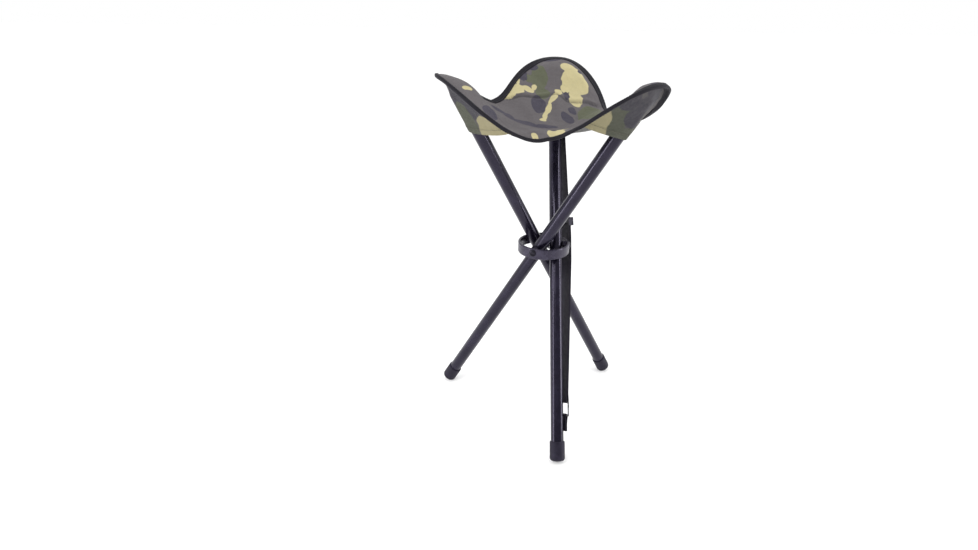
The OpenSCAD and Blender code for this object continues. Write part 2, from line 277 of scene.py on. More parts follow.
def bump(tree, shader, height, distance, strength=1.0, under=None):
    values = {"Height": height, "Distance": distance, "Strength": strength}
    if under is not None:
        values["Normal"] = under
    made = add(tree, "ShaderNodeBump", values)
    tree.links.new(made.outputs[0], shader.inputs["Normal"])
    return made.outputs[0]


def shade(tree, shader, **values):
    """Sets or links the shader's inputs, with spaces in their names written as _."""
    for key, value in values.items():
        socket = shader.inputs[key.replace("_", " ")]
        if isinstance(value, bpy.types.NodeSocket):
            tree.links.new(value, socket)
        else:
            socket.default_value = value


def weave(tree, flat, pitch):
    """The height of a plain weave of threads pitch metres apart, from 0 to 1."""
    split = add(tree, "ShaderNodeSeparateXYZ", {0: flat})
    turns = math.pi / pitch
    across = maths(tree, "SINE", maths(tree, "MULTIPLY", split.outputs[0], turns))
    along = maths(tree, "SINE", maths(tree, "MULTIPLY", split.outputs[1], turns))
    warp = maths(tree, "ABSOLUTE", across)
    weft = maths(tree, "ABSOLUTE", along)
    over = ramp(tree, maths(tree, "MULTIPLY", across, along), -0.2, 0.2)
    return maths(
        tree,
        "ADD",
        maths(tree, "MULTIPLY", warp, over),
        maths(tree, "MULTIPLY", weft, maths(tree, "SUBTRACT", 1.0, over)),
    )


# ---------------------------------------------------------------- materials

TAN = (0.60, 0.53, 0.28, 1)
GREEN = (0.098, 0.108, 0.062, 1)
GREY = (0.112, 0.101, 0.108, 1)
NAVY = (0.040, 0.035, 0.060, 1)
TAPE = (0.008, 0.007, 0.011, 1)
# how far the pockets' print is darkened, as painted shade for the cloth that hangs under the seat
CLOTH_SHADE = 0.42


def patch_mask(tree, flat, patches):
    """1 inside any of the patches: (x, y, half width, half length, turn), in millimetres and degrees."""
    nearest = None
    for x, y, half_x, half_y, turn in patches:
        local = add(
            tree,
            "ShaderNodeMapping",
            {
                "Vector": flat,
                "Location": (x * MM, y * MM, 0),
                "Rotation": (0, 0, math.radians(turn)),
                "Scale": (half_x * MM, half_y * MM, 1),
            },
            vector_type="TEXTURE",
        )
        size = add(tree, "ShaderNodeVectorMath", {0: local.outputs[0]}, operation="LENGTH").outputs["Value"]
        nearest = size if nearest is None else maths(tree, "SMOOTH_MIN", nearest, size, 0.18)
    return ramp(tree, nearest, 1.03, 0.95)


def camouflage(name, layers, base=GREY):
    """Printed poplin: layers of (colour, patches) painted over each other, woven and creased, with painted
    shade along the fold over the back corner.
    """
    material, tree, shader = new_material(name)
    spot = add(tree, "ShaderNodeAttribute", attribute_name="flat").outputs["Vector"]
    flattened = add(tree, "ShaderNodeVectorMath", {0: spot, 1: (1, 1, 0)}, operation="MULTIPLY")
    print_plane = flattened.outputs[0]
    wobble = noise(tree, print_plane, 60, 2.0)
    centred = add(
        tree, "ShaderNodeVectorMath", {0: wobble.outputs["Color"], 1: (0.5, 0.5, 0.5)}, operation="SUBTRACT"
    )
    shift = add(
        tree, "ShaderNodeVectorMath", {0: centred.outputs[0], 1: (0.008, 0.008, 0)}, operation="MULTIPLY"
    )
    printed = add(
        tree, "ShaderNodeVectorMath", {0: print_plane, 1: shift.outputs[0]}, operation="ADD"
    ).outputs[0]
    colour = base
    for tint, patches in layers:
        colour = mix(tree, patch_mask(tree, printed, patches), colour, tint)
    # painted shade: the print is darkened towards near black along the fold over the back corner, by the
    # fold_line attribute
    painted_fold_shade = add(tree, "ShaderNodeAttribute", attribute_name="fold_line").outputs["Fac"]
    colour = mix(tree, maths(tree, "MULTIPLY", painted_fold_shade, 0.6), colour, (0.030, 0.028, 0.036, 1))
    mottle = noise(tree, print_plane, 320, 4, 0.65).outputs["Fac"]
    colour = mix(tree, ramp(tree, mottle, 0.3, 0.75, 0.0, 0.10), colour, (0.26, 0.25, 0.24, 1))
    fade = noise(tree, print_plane, 26, 3).outputs["Fac"]
    colour = mix(tree, ramp(tree, fade, 0.45, 0.8, 0.0, 0.10), colour, (0.22, 0.21, 0.20, 1))
    split = add(tree, "ShaderNodeSeparateXYZ", {0: spot})
    under = maths(tree, "LESS_THAN", split.outputs[2], 0.5)
    show_through = mix(tree, 0.55, colour, (0.11, 0.115, 0.10, 1))
    colour = mix(tree, under, colour, show_through)
    threads = weave(tree, print_plane, 0.00055)
    colour = mix(tree, maths(tree, "MULTIPLY", threads, 0.06), colour, (0.30, 0.29, 0.28, 1))
    crumple = noise(tree, print_plane, 62, 3, 0.55).outputs["Fac"]
    slub = noise(tree, print_plane, 700, 2).outputs["Fac"]
    first = bump(tree, shader, crumple, 0.0045, 0.7)
    second = bump(tree, shader, slub, 0.0004, 0.5, first)
    bump(tree, shader, threads, 0.00018, 0.8, second)
    rough = ramp(tree, mottle, 0.2, 0.8, 0.74, 0.92)
    shade(tree, shader, Base_Color=colour, Roughness=rough, Specular_IOR_Level=0.32)
    shade(tree, shader, Sheen_Weight=0.04, Sheen_Roughness=0.45)
    return material


def binding_tape(name, tint, pitch=0.0011):
    """Ribbed tape: ribs along its length, a fine cross thread, paler on the worn edges."""
    material, tree, shader = new_material(name)
    spot = add(tree, "ShaderNodeAttribute", attribute_name="flat").outputs["Vector"]
    split = add(tree, "ShaderNodeSeparateXYZ", {0: spot})
    turns = maths(tree, "MULTIPLY", split.outputs[0], math.pi / pitch)
    ribs = maths(tree, "ABSOLUTE", maths(tree, "SINE", turns))
    threads = weave(tree, spot, 0.0007)
    height = maths(tree, "ADD", maths(tree, "MULTIPLY", ribs, 0.6), maths(tree, "MULTIPLY", threads, 0.4))
    dust = noise(tree, spot, 240, 4, 0.6).outputs["Fac"]
    colour = mix(tree, ramp(tree, dust, 0.35, 0.8, 0.0, 0.5), tint, (0.020, 0.019, 0.026, 1))
    colour = mix(tree, maths(tree, "MULTIPLY", height, 0.3), colour, (0.022, 0.021, 0.029, 1))
    bump(tree, shader, height, 0.0003, 0.9)
    shade(tree, shader, Base_Color=colour, Roughness=ramp(tree, dust, 0.2, 0.8, 0.6, 0.8))
    shade(tree, shader, Specular_IOR_Level=0.18, Sheen_Weight=0.02, Sheen_Roughness=0.4)
    return material


def webbing(name):
    """Heavy woven strap: a herringbone across its width and smooth turned edges."""
    material, tree, shader = new_material(name)
    spot = add(tree, "ShaderNodeAttribute", attribute_name="flat").outputs["Vector"]
    split = add(tree, "ShaderNodeSeparateXYZ", {0: spot})
    zigzag = maths(tree, "PINGPONG", split.outputs[0], 0.0025)
    slanted = maths(tree, "ADD", split.outputs[1], maths(tree, "MULTIPLY", zigzag, 1.3))
    picks = maths(tree, "ABSOLUTE", maths(tree, "SINE", maths(tree, "MULTIPLY", slanted, math.pi / 0.0016)))
    cords = maths(
        tree, "ABSOLUTE", maths(tree, "SINE", maths(tree, "MULTIPLY", split.outputs[0], math.pi / 0.00125))
    )
    height = maths(tree, "MULTIPLY", picks, cords)
    dust = noise(tree, spot, 180, 4, 0.6).outputs["Fac"]
    dusty = ramp(tree, dust, 0.35, 0.85, 0.0, 0.4)
    colour = mix(tree, dusty, (0.008, 0.007, 0.012, 1), (0.024, 0.022, 0.031, 1))
    colour = mix(tree, maths(tree, "MULTIPLY", height, 0.3), colour, (0.030, 0.028, 0.038, 1))
    bump(tree, shader, height, 0.0005, 0.9)
    shade(tree, shader, Base_Color=colour, Roughness=ramp(tree, dust, 0.2, 0.8, 0.5, 0.72))
    shade(tree, shader, Specular_IOR_Level=0.25, Specular_Tint=(0.82, 0.76, 1.0, 1))
    return material


def powder_coat():
    """Black powder coat on steel tube: fine orange peel, a soft gloss, faint handling marks."""
    material, tree, shader = new_material("powder coat")
    spot = place(tree)
    peel = noise(tree, spot, 900, 2, 0.5).outputs["Fac"]
    marks = noise(tree, spot, 40, 5, 0.65).outputs["Fac"]
    colour = mix(tree, ramp(tree, marks, 0.4, 0.75), (0.006, 0.005, 0.011, 1), (0.014, 0.012, 0.024, 1))
    bump(tree, shader, peel, 0.00004, 0.35)
    shade(tree, shader, Base_Color=colour, Roughness=ramp(tree, marks, 0.3, 0.75, 0.17, 0.25))
    shade(tree, shader, Specular_IOR_Level=0.38, Specular_Tint=(0.80, 0.74, 1.0, 1))
    return material


def rubber():
    """Matt moulded rubber, chalky where it has been handled and scuffed."""
    material, tree, shader = new_material("rubber")
    spot = place(tree)
    grain = noise(tree, spot, 900, 3, 0.6).outputs["Fac"]
    scuff = noise(tree, spot, 75, 5, 0.7).outputs["Fac"]
    colour = mix(tree, ramp(tree, scuff, 0.42, 0.72), (0.007, 0.006, 0.012, 1), (0.018, 0.016, 0.028, 1))
    bump(tree, shader, grain, 0.0002, 0.6)
    shade(tree, shader, Base_Color=colour, Roughness=ramp(tree, scuff, 0.3, 0.8, 0.5, 0.68))
    shade(tree, shader, Specular_IOR_Level=0.3, Specular_Tint=(0.82, 0.76, 1.0, 1))
    return material


def nylon():
    """Moulded nylon: a faint spark-eroded grain and slightly paler wear."""
    material, tree, shader = new_material("moulded nylon")
    spot = place(tree)
    grain = noise(tree, spot, 1100, 2, 0.5).outputs["Fac"]
    wear = noise(tree, spot, 60, 4, 0.6).outputs["Fac"]
    colour = mix(tree, ramp(tree, wear, 0.4, 0.75), (0.015, 0.013, 0.023, 1), (0.036, 0.032, 0.052, 1))
    bump(tree, shader, grain, 0.00012, 0.5)
    shade(tree, shader, Base_Color=colour, Roughness=ramp(tree, wear, 0.3, 0.8, 0.22, 0.36))
    shade(tree, shader, Specular_IOR_Level=0.45, Specular_Tint=(0.82, 0.76, 1.0, 1))
    return material


def steel(name, dark, light, rough_low, rough_high):
    """Turned or drawn steel with fine scratches and smudges."""
    material, tree, shader = new_material(name)
    spot = place(tree)
    stretched = add(tree, "ShaderNodeMapping", {"Vector": spot, "Scale": (400, 400, 60)})
    scratches = noise(tree, stretched.outputs[0], 8, 3, 0.6).outputs["Fac"]
    smudge = noise(tree, spot, 160, 3).outputs["Fac"]
    colour = mix(tree, ramp(tree, smudge, 0.35, 0.7), dark, light)
    bump(tree, shader, scratches, 0.00005, 0.4)
    shade(tree, shader, Base_Color=colour, Metallic=1.0)
    shade(tree, shader, Roughness=ramp(tree, smudge, 0.3, 0.8, rough_low, rough_high))
    return material


def thread(name, tint):
    """Twisted sewing thread."""
    material, tree, shader = new_material(name)
    spot = place(tree)
    twist = noise(tree, spot, 2600, 2).outputs["Fac"]
    paler = tuple(min(1.0, 1.8 * c + 0.01) for c in tint[:3]) + (1,)
    bump(tree, shader, twist, 0.0001, 0.6)
    shade(tree, shader, Base_Color=mix(tree, twist, tint, paler), Roughness=0.62)
    return material


# the print, placed on the flat cut: x to the right, y to the back, from the seat's centre
SEAT_PRINT = [
    (
        GREEN,
        [
            (-8, 146, 16, 24, 0),
            (-27, 140, 10, 8, 20),
            (-3, 114, 13, 13, 0),
            (-12, 164, 8, 8, 0),
            (70, 62, 19, 32, -12),
            (-120, -78, 22, 12, 30),
            (-98, -20, 16, 12, 10),
            (120, -92, 20, 13, -30),
            (28, -78, 18, 10, 10),
            (-28, -62, 15, 9, -20),
        ],
    ),
    (
        NAVY,
        [
            (-44, 148, 12, 17, 30),
            (-26, 172, 18, 10, -35),
            (6, 188, 30, 7, 0),
            (-12, 86, 13, 21, 0),
            (-80, 44, 14, 7, -10),
            (-62, 35, 9, 11, 30),
            (-38, 31, 20, 8, 5),
            (-8, 28, 24, 6, 4),
            (34, 57, 8, 17, 20),
            (45, 78, 6, 10, 20),
            (-150, -70, 16, 9, 30),
            (-112, -62, 18, 7, 30),
            (150, -118, 16, 10, -35),
            (96, -52, 18, 12, -30),
            (62, -40, 12, 16, 0),
            (-98, -112, 14, 8, 20),
        ],
    ),
    (
        TAN,
        [
            (48, 167, 15, 9, -10),
            (62, 152, 12, 17, 10),
            (68, 134, 12, 18, 0),
            (48, 142, 15, 20, 0),
            (54, 108, 11, 20, 0),
            (38, 129, 9, 10, 0),
            (25, 120, 6, 8, 30),
            (15, 104, 5, 14, -25),
            (6, 82, 4.5, 15, -12),
            (-1, 62, 4, 15, -14),
            (-6, 50, 5.5, 5, 0),
            (-49, 128, 3.5, 9, 10),
            (-63, 93, 15, 6.5, 45),
            (-48, 109, 12, 11, 20),
            (-30, 116, 12, 6, -8),
            (-19, 124, 4.5, 8, -25),
            (-3, -108, 12, 12, 0),
            (12, -99, 8, 3, 10),
            (-32, -114, 4.5, 8, 0),
            (-142, -107, 9, 4, 35),
            (118, -44, 14, 8, 40),
        ],
    ),
    (NAVY, [(39, 113, 5.5, 9, 0), (-4, -98, 4.5, 4, 0), (69, 161, 4, 5, 0)]),
    (GREY, [(79, 150, 4, 8, 10), (31, 141, 4, 5, 0), (21, 140, 5, 12, 0)]),
]
# the pockets' print: x across the leg along its pivot's axis, y down the leg from the corner
LEFT_POCKET_PRINT = [
    (NAVY, [(6, -30, 70, 44, 0)]),
    (GREEN, [(30, -38, 14, 26, 10), (-10, -74, 17, 34, 0), (30, -96, 20, 16, 0)]),
    (NAVY, [(14, -66, 8, 24, 10)]),
    (TAN, [(-60, -90, 33, 30, 0), (-48, -72, 18, 12, 0), (50, -80, 9, 14, 0)]),
]
RIGHT_POCKET_PRINT = [
    (GREEN, [(2, -88, 24, 24, 0), (34, -62, 18, 34, 0), (-24, -70, 14, 26, 0)]),
    (NAVY, [(4, -50, 22, 17, 0), (-8, -30, 28, 16, 0), (34, -30, 16, 16, 0), (-4, -12, 20, 10, 0)]),
    (TAN, [(58, -86, 24, 38, 0), (78, -70, 24, 24, 0), (-18, -99, 9, 6, 20)]),
]
BACK_POCKET_PRINT = [
    (GREEN, [(-20, -50, 24, 26, 0), (30, -86, 26, 16, 0)]),
    (NAVY, [(20, -40, 16, 24, 0), (-36, -80, 20, 14, 0), (0, -20, 20, 9, 0)]),
    (TAN, [(-6, -78, 12, 20, 20), (44, -64, 12, 18, -20)]),
]



def painted_shade_tint(tint):
    """The print colour darkened by CLOTH_SHADE: painted shade on the pockets' cloth, which hangs under the
    seat.
    """
    return tuple(CLOTH_SHADE * c for c in tint[:3]) + (1,)


def pocket_camouflage(name, layers):
    return camouflage(name, [(painted_shade_tint(tint), patches) for tint, patches in layers], base=painted_shade_tint(GREY))


camo = camouflage("camouflage cloth", SEAT_PRINT)
# the pockets' cloth: the seat's print with painted shade, darker by CLOTH_SHADE
pocket_cloth = {
    1: pocket_camouflage("camouflage pocket back", BACK_POCKET_PRINT),
    2: pocket_camouflage("camouflage pocket right", RIGHT_POCKET_PRINT),
    3: pocket_camouflage("camouflage pocket left", LEFT_POCKET_PRINT),
}
tape = binding_tape("binding tape", TAPE)
strap_cloth = webbing("strap webbing")
dark_thread = thread("dark thread", (0.022, 0.021, 0.028, 1))
tan_thread = thread("drab thread", (0.070, 0.066, 0.045, 1))

# ---------------------------------------------------------------- the seat cloth

COLUMNS = 121
TIP_COLUMN = 60


# the fold across the back corner, over the end of the leg's rise: x and y on the flat cut
FOLD = np.array([(-75, 80), (-45, 95), (-5, 105), (20, 115), (40, 100), (70, 100), (100, 90)])


def fold_gap(x, y):
    """How far a place is above the fold across the back corner, and how much of the fold reaches it."""
    above = y - np.interp(x, FOLD[:, 0], FOLD[:, 1])
    return above, smoothstep(x, -80, -66) * (1 - smoothstep(x, 86, 100)) * (y > 0)


def relief(azimuth, along, edge_gap):
    """The cloth's small folds, in millimetres: over the back corner, along the legs, and soft ripples."""
    angle = np.radians(azimuth)
    x, y = along * np.cos(angle), along * np.sin(angle)
    lines = np.sin(x * 0.085 + 1.3 * np.sin(y * 0.031)) * np.sin(y * 0.067 + 0.9 * np.sin(x * 0.043) + 0.6)
    ripple = 0.6 * lines * smoothstep(along, 10, 50)
    above, within = fold_gap(x, y)
    fold = within * (2.2 * np.exp(-(((above - 5) / 4.5) ** 2)) - 1.9 * np.exp(-((above / 1.9) ** 2)))
    ridges = 0
    for leg in LEGS:
        turn = math.radians(LEG_TURN[leg])
        up_leg = along * np.cos(angle - turn - math.pi / 2)
        beside = along * np.cos(angle - turn) - LEG_OFFSET - 1.5
        reach = smoothstep(up_leg, 40, 82) * (1 - smoothstep(up_leg, 108, 122))
        ridges = ridges + 3.0 * reach * np.exp(-((beside / 9.5) ** 2))
        off = np.radians(wrap(azimuth - tip_azimuth(leg)))
        near = smoothstep(along, 70, 130) * np.exp(-((off / 0.75) ** 2))
        ridges = ridges + 0.7 * near * np.cos(11 * off) * smoothstep(np.abs(off), 0.12, 0.3)
    scatter = np.exp(-(((x + 82) / 16) ** 2) - (((y + 104) / 13) ** 2))
    scatter = scatter * 0.9 * np.sin(0.62 * (x * 0.5 + y) + 0.8 * np.sin(0.2 * x))
    return (ripple + fold + ridges + scatter) * smoothstep(edge_gap, 2, 20)


def seat_grid():
    """The seat's upper side: columns of points from the centre to the edge, and their flat places."""
    first = tip_azimuth(1) - TIP_COLUMN
    azimuth = first + np.arange(360.0)
    reach, rise, lobe = rim(azimuth)
    share = np.linspace(0, 1, 181)
    radius = share[None, :] * reach[:, None]
    height = seat_height(azimuth[:, None], radius)
    steps = np.hypot(np.diff(radius, axis=1), np.diff(height, axis=1))
    along = np.concatenate([np.zeros((360, 1)), np.cumsum(steps, axis=1)], axis=1)
    edge_rows = np.array(EDGE_ROWS)
    points, flats, gaps = [], [], []
    for i in range(360):
        total = along[i, -1]
        inner = np.linspace(0.5, total - 25, 68)
        place_along = np.concatenate([inner, total - edge_rows])
        r = np.interp(place_along, along[i], radius[i])
        z = seat_height(azimuth[i], r)
        a = math.radians(azimuth[i])
        points.append(np.stack([r * math.cos(a), r * math.sin(a), z + PIVOT_Z], -1))
        flats.append(np.stack([place_along * math.cos(a), place_along * math.sin(a), 0 * r], -1))
        gaps.append(total - place_along)
    points, flats, gaps = np.array(points), np.array(flats), np.array(gaps)
    normal = -grid_normals(points, closed_rows=True)
    if normal[:, :5, 2].mean() < 0:
        normal = -normal
    along_now = np.hypot(flats[..., 0], flats[..., 1])
    points = points + normal * relief(azimuth[:, None], along_now, gaps)[..., None]
    normal = grid_normals(points, closed_rows=True)
    if normal[:, :5, 2].mean() < 0:
        normal = -normal
    return azimuth, points, normal, flats * MM


seat_azimuth, seat_top, seat_normal, seat_flat = seat_grid()


def sector(array, leg):
    """The columns of one leg's third of the seat, both borders included."""
    start = {1: 0, 3: 120, 2: 240}[leg]
    return np.take(array, (start + np.arange(COLUMNS)) % 360, axis=0)


def bend_with(piece):
    """Bakes the piece's placement into its mesh."""
    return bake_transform(piece)


def mark_fold(piece, flat):
    """Stores how near each point of the cloth's two faces is to the fold, 1 on it, for the cloth's shader to
    paint shade along the fold.
    """
    above, within = fold_gap(flat[..., 0] / MM, flat[..., 1] / MM)
    values = (within * np.exp(-((above / 1.5) ** 2))).astype(np.float32).ravel()
    attribute = piece.data.attributes.new("fold_line", "FLOAT", "POINT")
    attribute.data.foreach_set("value", np.concatenate([values, values]))


def seat_sector(leg):
    top = sector(seat_top, leg)
    up = sector(seat_normal, leg)
    flat = sector(seat_flat, leg).copy()
    flat[..., 2] = 1
    piece = thick_sheet(f"seat_cloth_{leg}", top, top - up * CLOTH_T, up, flat, camo)
    mark_fold(piece, flat)
    return piece or piece


def cloth_area(points):
    a = points[1:, 1:] - points[:-1, :-1]
    b = points[:-1, 1:] - points[1:, :-1]
    return np.linalg.norm(np.cross(a, b), axis=-1).sum() / 2 * MM * MM


seat_pieces = {leg: seat_sector(leg) for leg in LEGS}

# ---------------------------------------------------------------- the binding


# how wide the tape shows on the seat's upper side, at each azimuth: it is turned further under in front
TAPE_AZIMUTHS = [-180, -155, -120, -95, -65, -40, 30, 60, 110, 150, 180]
TAPE_SHOWN = [5.4, 3.4, 3.0, 4.6, 7.6, 8.6, 10.0, 12.0, 12.0, 8.8, 5.4]


def tape_width(azimuth):
    return float(np.interp(wrap(azimuth), TAPE_AZIMUTHS, TAPE_SHOWN))


def binding_sector(leg):
    """The binding as a closed tube: an outer skin round the edge and an inner skin against the cloth."""
    points, up = sector(seat_top, leg), sector(seat_normal, leg)
    gaps = np.array([TAPE_W, 9.3, 7.5, 4.5, 2, 0.6])
    all_gaps = np.array(EDGE_ROWS)
    azimuth = sector(seat_azimuth, leg)
    off = np.abs(wrap(azimuth - tip_azimuth(leg)))
    pocketed = 1 - smoothstep(off, POCKET_SPAN - 1, POCKET_SPAN + 5)
    lengths = np.concatenate([[0], np.cumsum(np.linalg.norm(np.diff(points[:, -1], axis=0), axis=1))])
    rings, flats = [], []
    for i in range(COLUMNS):
        def at(gap, lift):
            spot = [np.interp(gap, all_gaps[::-1], points[i, -10:, k][::-1]) for k in range(3)]
            normal = [np.interp(gap, all_gaps[::-1], up[i, -10:, k][::-1]) for k in range(3)]
            return np.array(spot) + unit(np.array(normal)) * lift

        edge, normal = points[i, -1], up[i, -1]
        scale = tape_width(azimuth[i]) / TAPE_W
        outward = unit(points[i, -1] - points[i, -3])
        low = -CLOTH_T - 1.7 * pocketed[i]
        top_lift = TAPE_T
        low_lift = low - TAPE_T
        ring, place = [], []
        for gap in gaps:
            lift = top_lift if gap < TAPE_W else 0.25
            ring.append(at(gap * scale, lift))
            place.append(gap)
        middle = (top_lift + low_lift) / 2
        half = (top_lift - low_lift) / 2
        for turn in (60, 25, 0, -25, -60):
            t = math.radians(turn)
            past_edge = outward * (0.9 * math.cos(t) + 0.1)
            ring.append(edge + past_edge + normal * (middle + half * math.sin(t) * 1.02))
            place.append(-1.2 * (60 - turn) / 60)
        for gap in gaps[::-1]:
            lift = low_lift if gap < TAPE_W else low - 0.25
            ring.append(at(gap * scale, lift))
            place.append(-4 - gap)
        for gap in (6.0, 4.0, 1.2):
            ring.append(at(gap * scale, low - 0.02))
            place.append(-14 + gap)
        ring.append(edge - outward * 0.2 + normal * (-CLOTH_T / 2 + (low + CLOTH_T) / 2))
        place.append(-16)
        for gap in (1.2, 4.0, 6.0):
            ring.append(at(gap * scale, 0.02))
            place.append(-20 - gap)
        rings.append(ring)
        flats.append([(lengths[i] * MM, p * MM, 0) for p in place])
    rings = np.array(rings)
    flats = np.array(flats)
    rows, columns = rings.shape[:2]
    faces = grid_faces(rows, columns, closed=True, flip=True)
    faces.append(list(range(columns)))
    faces.append([(rows - 1) * columns + k for k in range(columns)][::-1])
    swapped = flats[..., [1, 0, 2]]
    piece = mesh_object(
        f"binding_{leg}", rings.reshape(-1, 3), faces, tape, flat=swapped.reshape(-1, 3)
    )
    return piece, rings


def stitches(name, path, normals, length, gap, radius, material, sink=0.12):
    """A row of sewn stitches along a path of points, each a short thread that dips at both ends."""
    steps = np.linalg.norm(np.diff(path, axis=0), axis=1)
    along = np.concatenate([[0], np.cumsum(steps)])
    count = max(1, int(along[-1] / (length + gap)))
    pitch = along[-1] / count
    points, faces = [], []
    for k in range(count):
        stops = k * pitch + (pitch - length) / 2 + length * np.array([0, 0.14, 0.5, 0.86, 1])
        centre = np.stack([np.interp(stops, along, path[:, c]) for c in range(3)], -1)
        normal = unit(np.stack([np.interp(stops, along, normals[:, c]) for c in range(3)], -1))
        lift = np.array([-radius, radius * 0.5, radius * 0.75, radius * 0.5, -radius]) - sink * radius
        centre = centre + normal * lift[:, None]
        side = unit(np.cross(normal, np.gradient(centre, axis=0)))
        first = len(points)
        for c, n, s in zip(centre, normal, side):
            for turn in range(6):
                t = math.radians(60 * turn)
                points.append(c + radius * (math.cos(t) * s + math.sin(t) * n))
        faces += grid_faces(5, 6, first, closed=True)
        faces.append([first + j for j in range(6)][::-1])
        faces.append([first + 24 + j for j in range(6)])
    return mesh_object(name, points, faces, material)


binding_pieces, stitch_pieces = {}, {}
for leg in LEGS:
    binding_pieces[leg], rings = binding_sector(leg)
    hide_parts("edge_binding")
    top_row = rings[:, 2]
    low_row = rings[:, 14]
    up_rows = sector(seat_normal, leg)[:, -5]
    stitch_pieces[leg] = [
        stitches(f"binding_stitch_top_{leg}", top_row, up_rows, 2.9, 1.0, 0.26, dark_thread),
        stitches(f"binding_stitch_low_{leg}", low_row, -up_rows, 2.9, 1.0, 0.26, dark_thread),
    ]

# ---------------------------------------------------------------- the corner pockets


def leg_axes(leg):
    """Across, outward and up-the-leg directions, and the pivot, of one leg at rest."""
    turn = math.radians(LEG_TURN[leg])
    across = np.array([math.cos(turn), math.sin(turn), 0])
    ahead = np.array([-math.sin(turn), math.cos(turn), 0])
    up = np.array([0, 0, 1.0])
    out = math.cos(LEAN) * ahead - math.sin(LEAN) * up
    along = math.sin(LEAN) * ahead + math.cos(LEAN) * up
    pivot = LEG_OFFSET * across + PIVOT_Z * up
    return across, out, along, pivot


def to_leg(points, leg):
    across, out, along, pivot = leg_axes(leg)
    relative = points - pivot
    return np.stack([relative @ across, relative @ out, relative @ along], -1)


def from_leg(local, leg):
    across, out, along, pivot = leg_axes(leg)
    return pivot + local[..., 0:1] * across + local[..., 1:2] * out + local[..., 2:3] * along


def under_seat(n, s, leg):
    """How far out from the leg's axis the seat's underside lies at a place across and along the leg."""
    low, high = np.full(n.shape, -90.0), np.full(n.shape, 60.0)
    for _ in range(40):
        middle = (low + high) / 2
        spot = from_leg(np.stack([n, middle, s], -1), leg)
        azimuth = np.degrees(np.arctan2(spot[..., 1], spot[..., 0]))
        radius = np.hypot(spot[..., 0], spot[..., 1])
        reach = rim(azimuth)[0]
        gap = spot[..., 2] - PIVOT_Z - seat_height(azimuth, np.minimum(radius, reach)) + CLOTH_T
        low = np.where(gap > 0, middle, low)
        high = np.where(gap > 0, high, middle)
    return (low + high) / 2


def pocket_grid(leg):
    """The pocket as a taut membrane from the edges round the corner, over the leg's end, to a free hem."""
    across_count, along_count = 61, 53
    tip = tip_azimuth(leg)
    v = np.linspace(0, 0.975, along_count)
    u = np.linspace(-1, 1, across_count)
    rims = []
    for side in (-1, 1):
        azimuth = tip + side * POCKET_SPAN * (1 - v)
        reach, rise, _ = rim(azimuth)
        a = np.radians(azimuth)
        edge = np.stack([reach * np.cos(a), reach * np.sin(a), rise + PIVOT_Z - CLOTH_T - 0.9], -1)
        rims.append(to_leg(edge, leg))
    left, right = rims
    share = (u[None, :, None] + 1) / 2
    local = left[:, None] * (1 - share) + right[:, None] * share
    hem_drop = (local[0, across_count // 2, 2] - HEM_S) * (1 - v[:, None] / 0.975) ** 1.3
    local[..., 2] -= hem_drop * (1 - np.abs(u[None, :]) ** 1.35)
    n, s = local[..., 0], local[..., 2]
    seat_side = under_seat(n, s, leg) + 1.1
    clear = TUBE_R + 1.6
    past_end = np.clip(s - (TUBE_TOP - 1), 0, None)
    leg_side = np.sqrt(np.clip(clear**2 - n**2 - (past_end * 1.15) ** 2, 0, None))
    leg_side = np.where(clear**2 - n**2 - (past_end * 1.15) ** 2 > 0, leg_side, -90)
    floor = np.maximum(seat_side, leg_side)
    fine = np.radians(tip + np.linspace(-POCKET_SPAN - 4, POCKET_SPAN + 4, 160))
    reach, rise, _ = rim(np.degrees(fine))
    line = np.stack([reach * np.cos(fine), reach * np.sin(fine), rise + PIVOT_Z - CLOTH_T], -1)
    start = from_leg(np.stack([n, seat_side, s], -1), leg)
    gap = np.linalg.norm(start[:, :, None] - line[None, None], axis=-1).min(-1)
    sewn = gap < 8
    sewn[:, 0] = sewn[:, -1] = True
    w = np.maximum(local[..., 1], floor)
    w = np.where(sewn, seat_side, w)
    w[:, 0], w[:, -1] = seat_side[:, 0], seat_side[:, -1]
    for _ in range(700):
        padded = np.concatenate([w[1:2], w, w[-2:-1]], axis=0)
        mean = w.copy()
        mean[:, 1:-1] = (padded[2:, 1:-1] + padded[:-2, 1:-1] + w[:, 2:] + w[:, :-2]) / 4
        w = np.where(sewn, w, np.maximum(mean, floor))
    return v, n, w, s


def resample(grid, rows, new_rows):
    return np.stack([np.interp(new_rows, rows, grid[:, k]) for k in range(grid.shape[1])], -1)


def pocket(leg):
    v, n, w, s = pocket_grid(leg)
    rows = np.concatenate([[0, 0.008, 0.04, 0.074, 0.082, 0.1], np.linspace(0.125, 0.975, 42)])
    n, w, s = (resample(g, v, rows) for g in (n, w, s))
    middle = from_leg(np.stack([n, w, s], -1), leg)
    normal = grid_normals(middle)
    outward = leg_axes(leg)[1]
    if (normal @ outward).mean() < 0:
        normal = -normal
    hem = 1 - smoothstep(rows, 0.074, 0.082)
    outer = middle + normal * (0.45 + 0.45 * hem)[:, None, None]
    inner = middle - normal * (0.45 + 0.25 * hem)[:, None, None]
    tip_s = s.max()
    flat = np.stack([n * MM, (s - tip_s) * MM, np.ones_like(n)], -1)
    flip = bool(np.cross(middle[1, 0] - middle[0, 0], middle[0, 1] - middle[0, 0]) @ outward > 0)
    piece = thick_sheet(f"pocket_{leg}", outer, inner, normal, flat, pocket_cloth[leg], flip)
    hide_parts(f"corner_pocket_{leg}")
    line = outer[3]
    sewing = stitches(f"pocket_hem_stitch_{leg}", line[4:-4], normal[3, 4:-4], 3.2, 1.1, 0.28, tan_thread)
    return piece, sewing, cloth_area(middle)


pockets = {leg: pocket(leg) for leg in LEGS}

# ---------------------------------------------------------------- baking the cloth in place

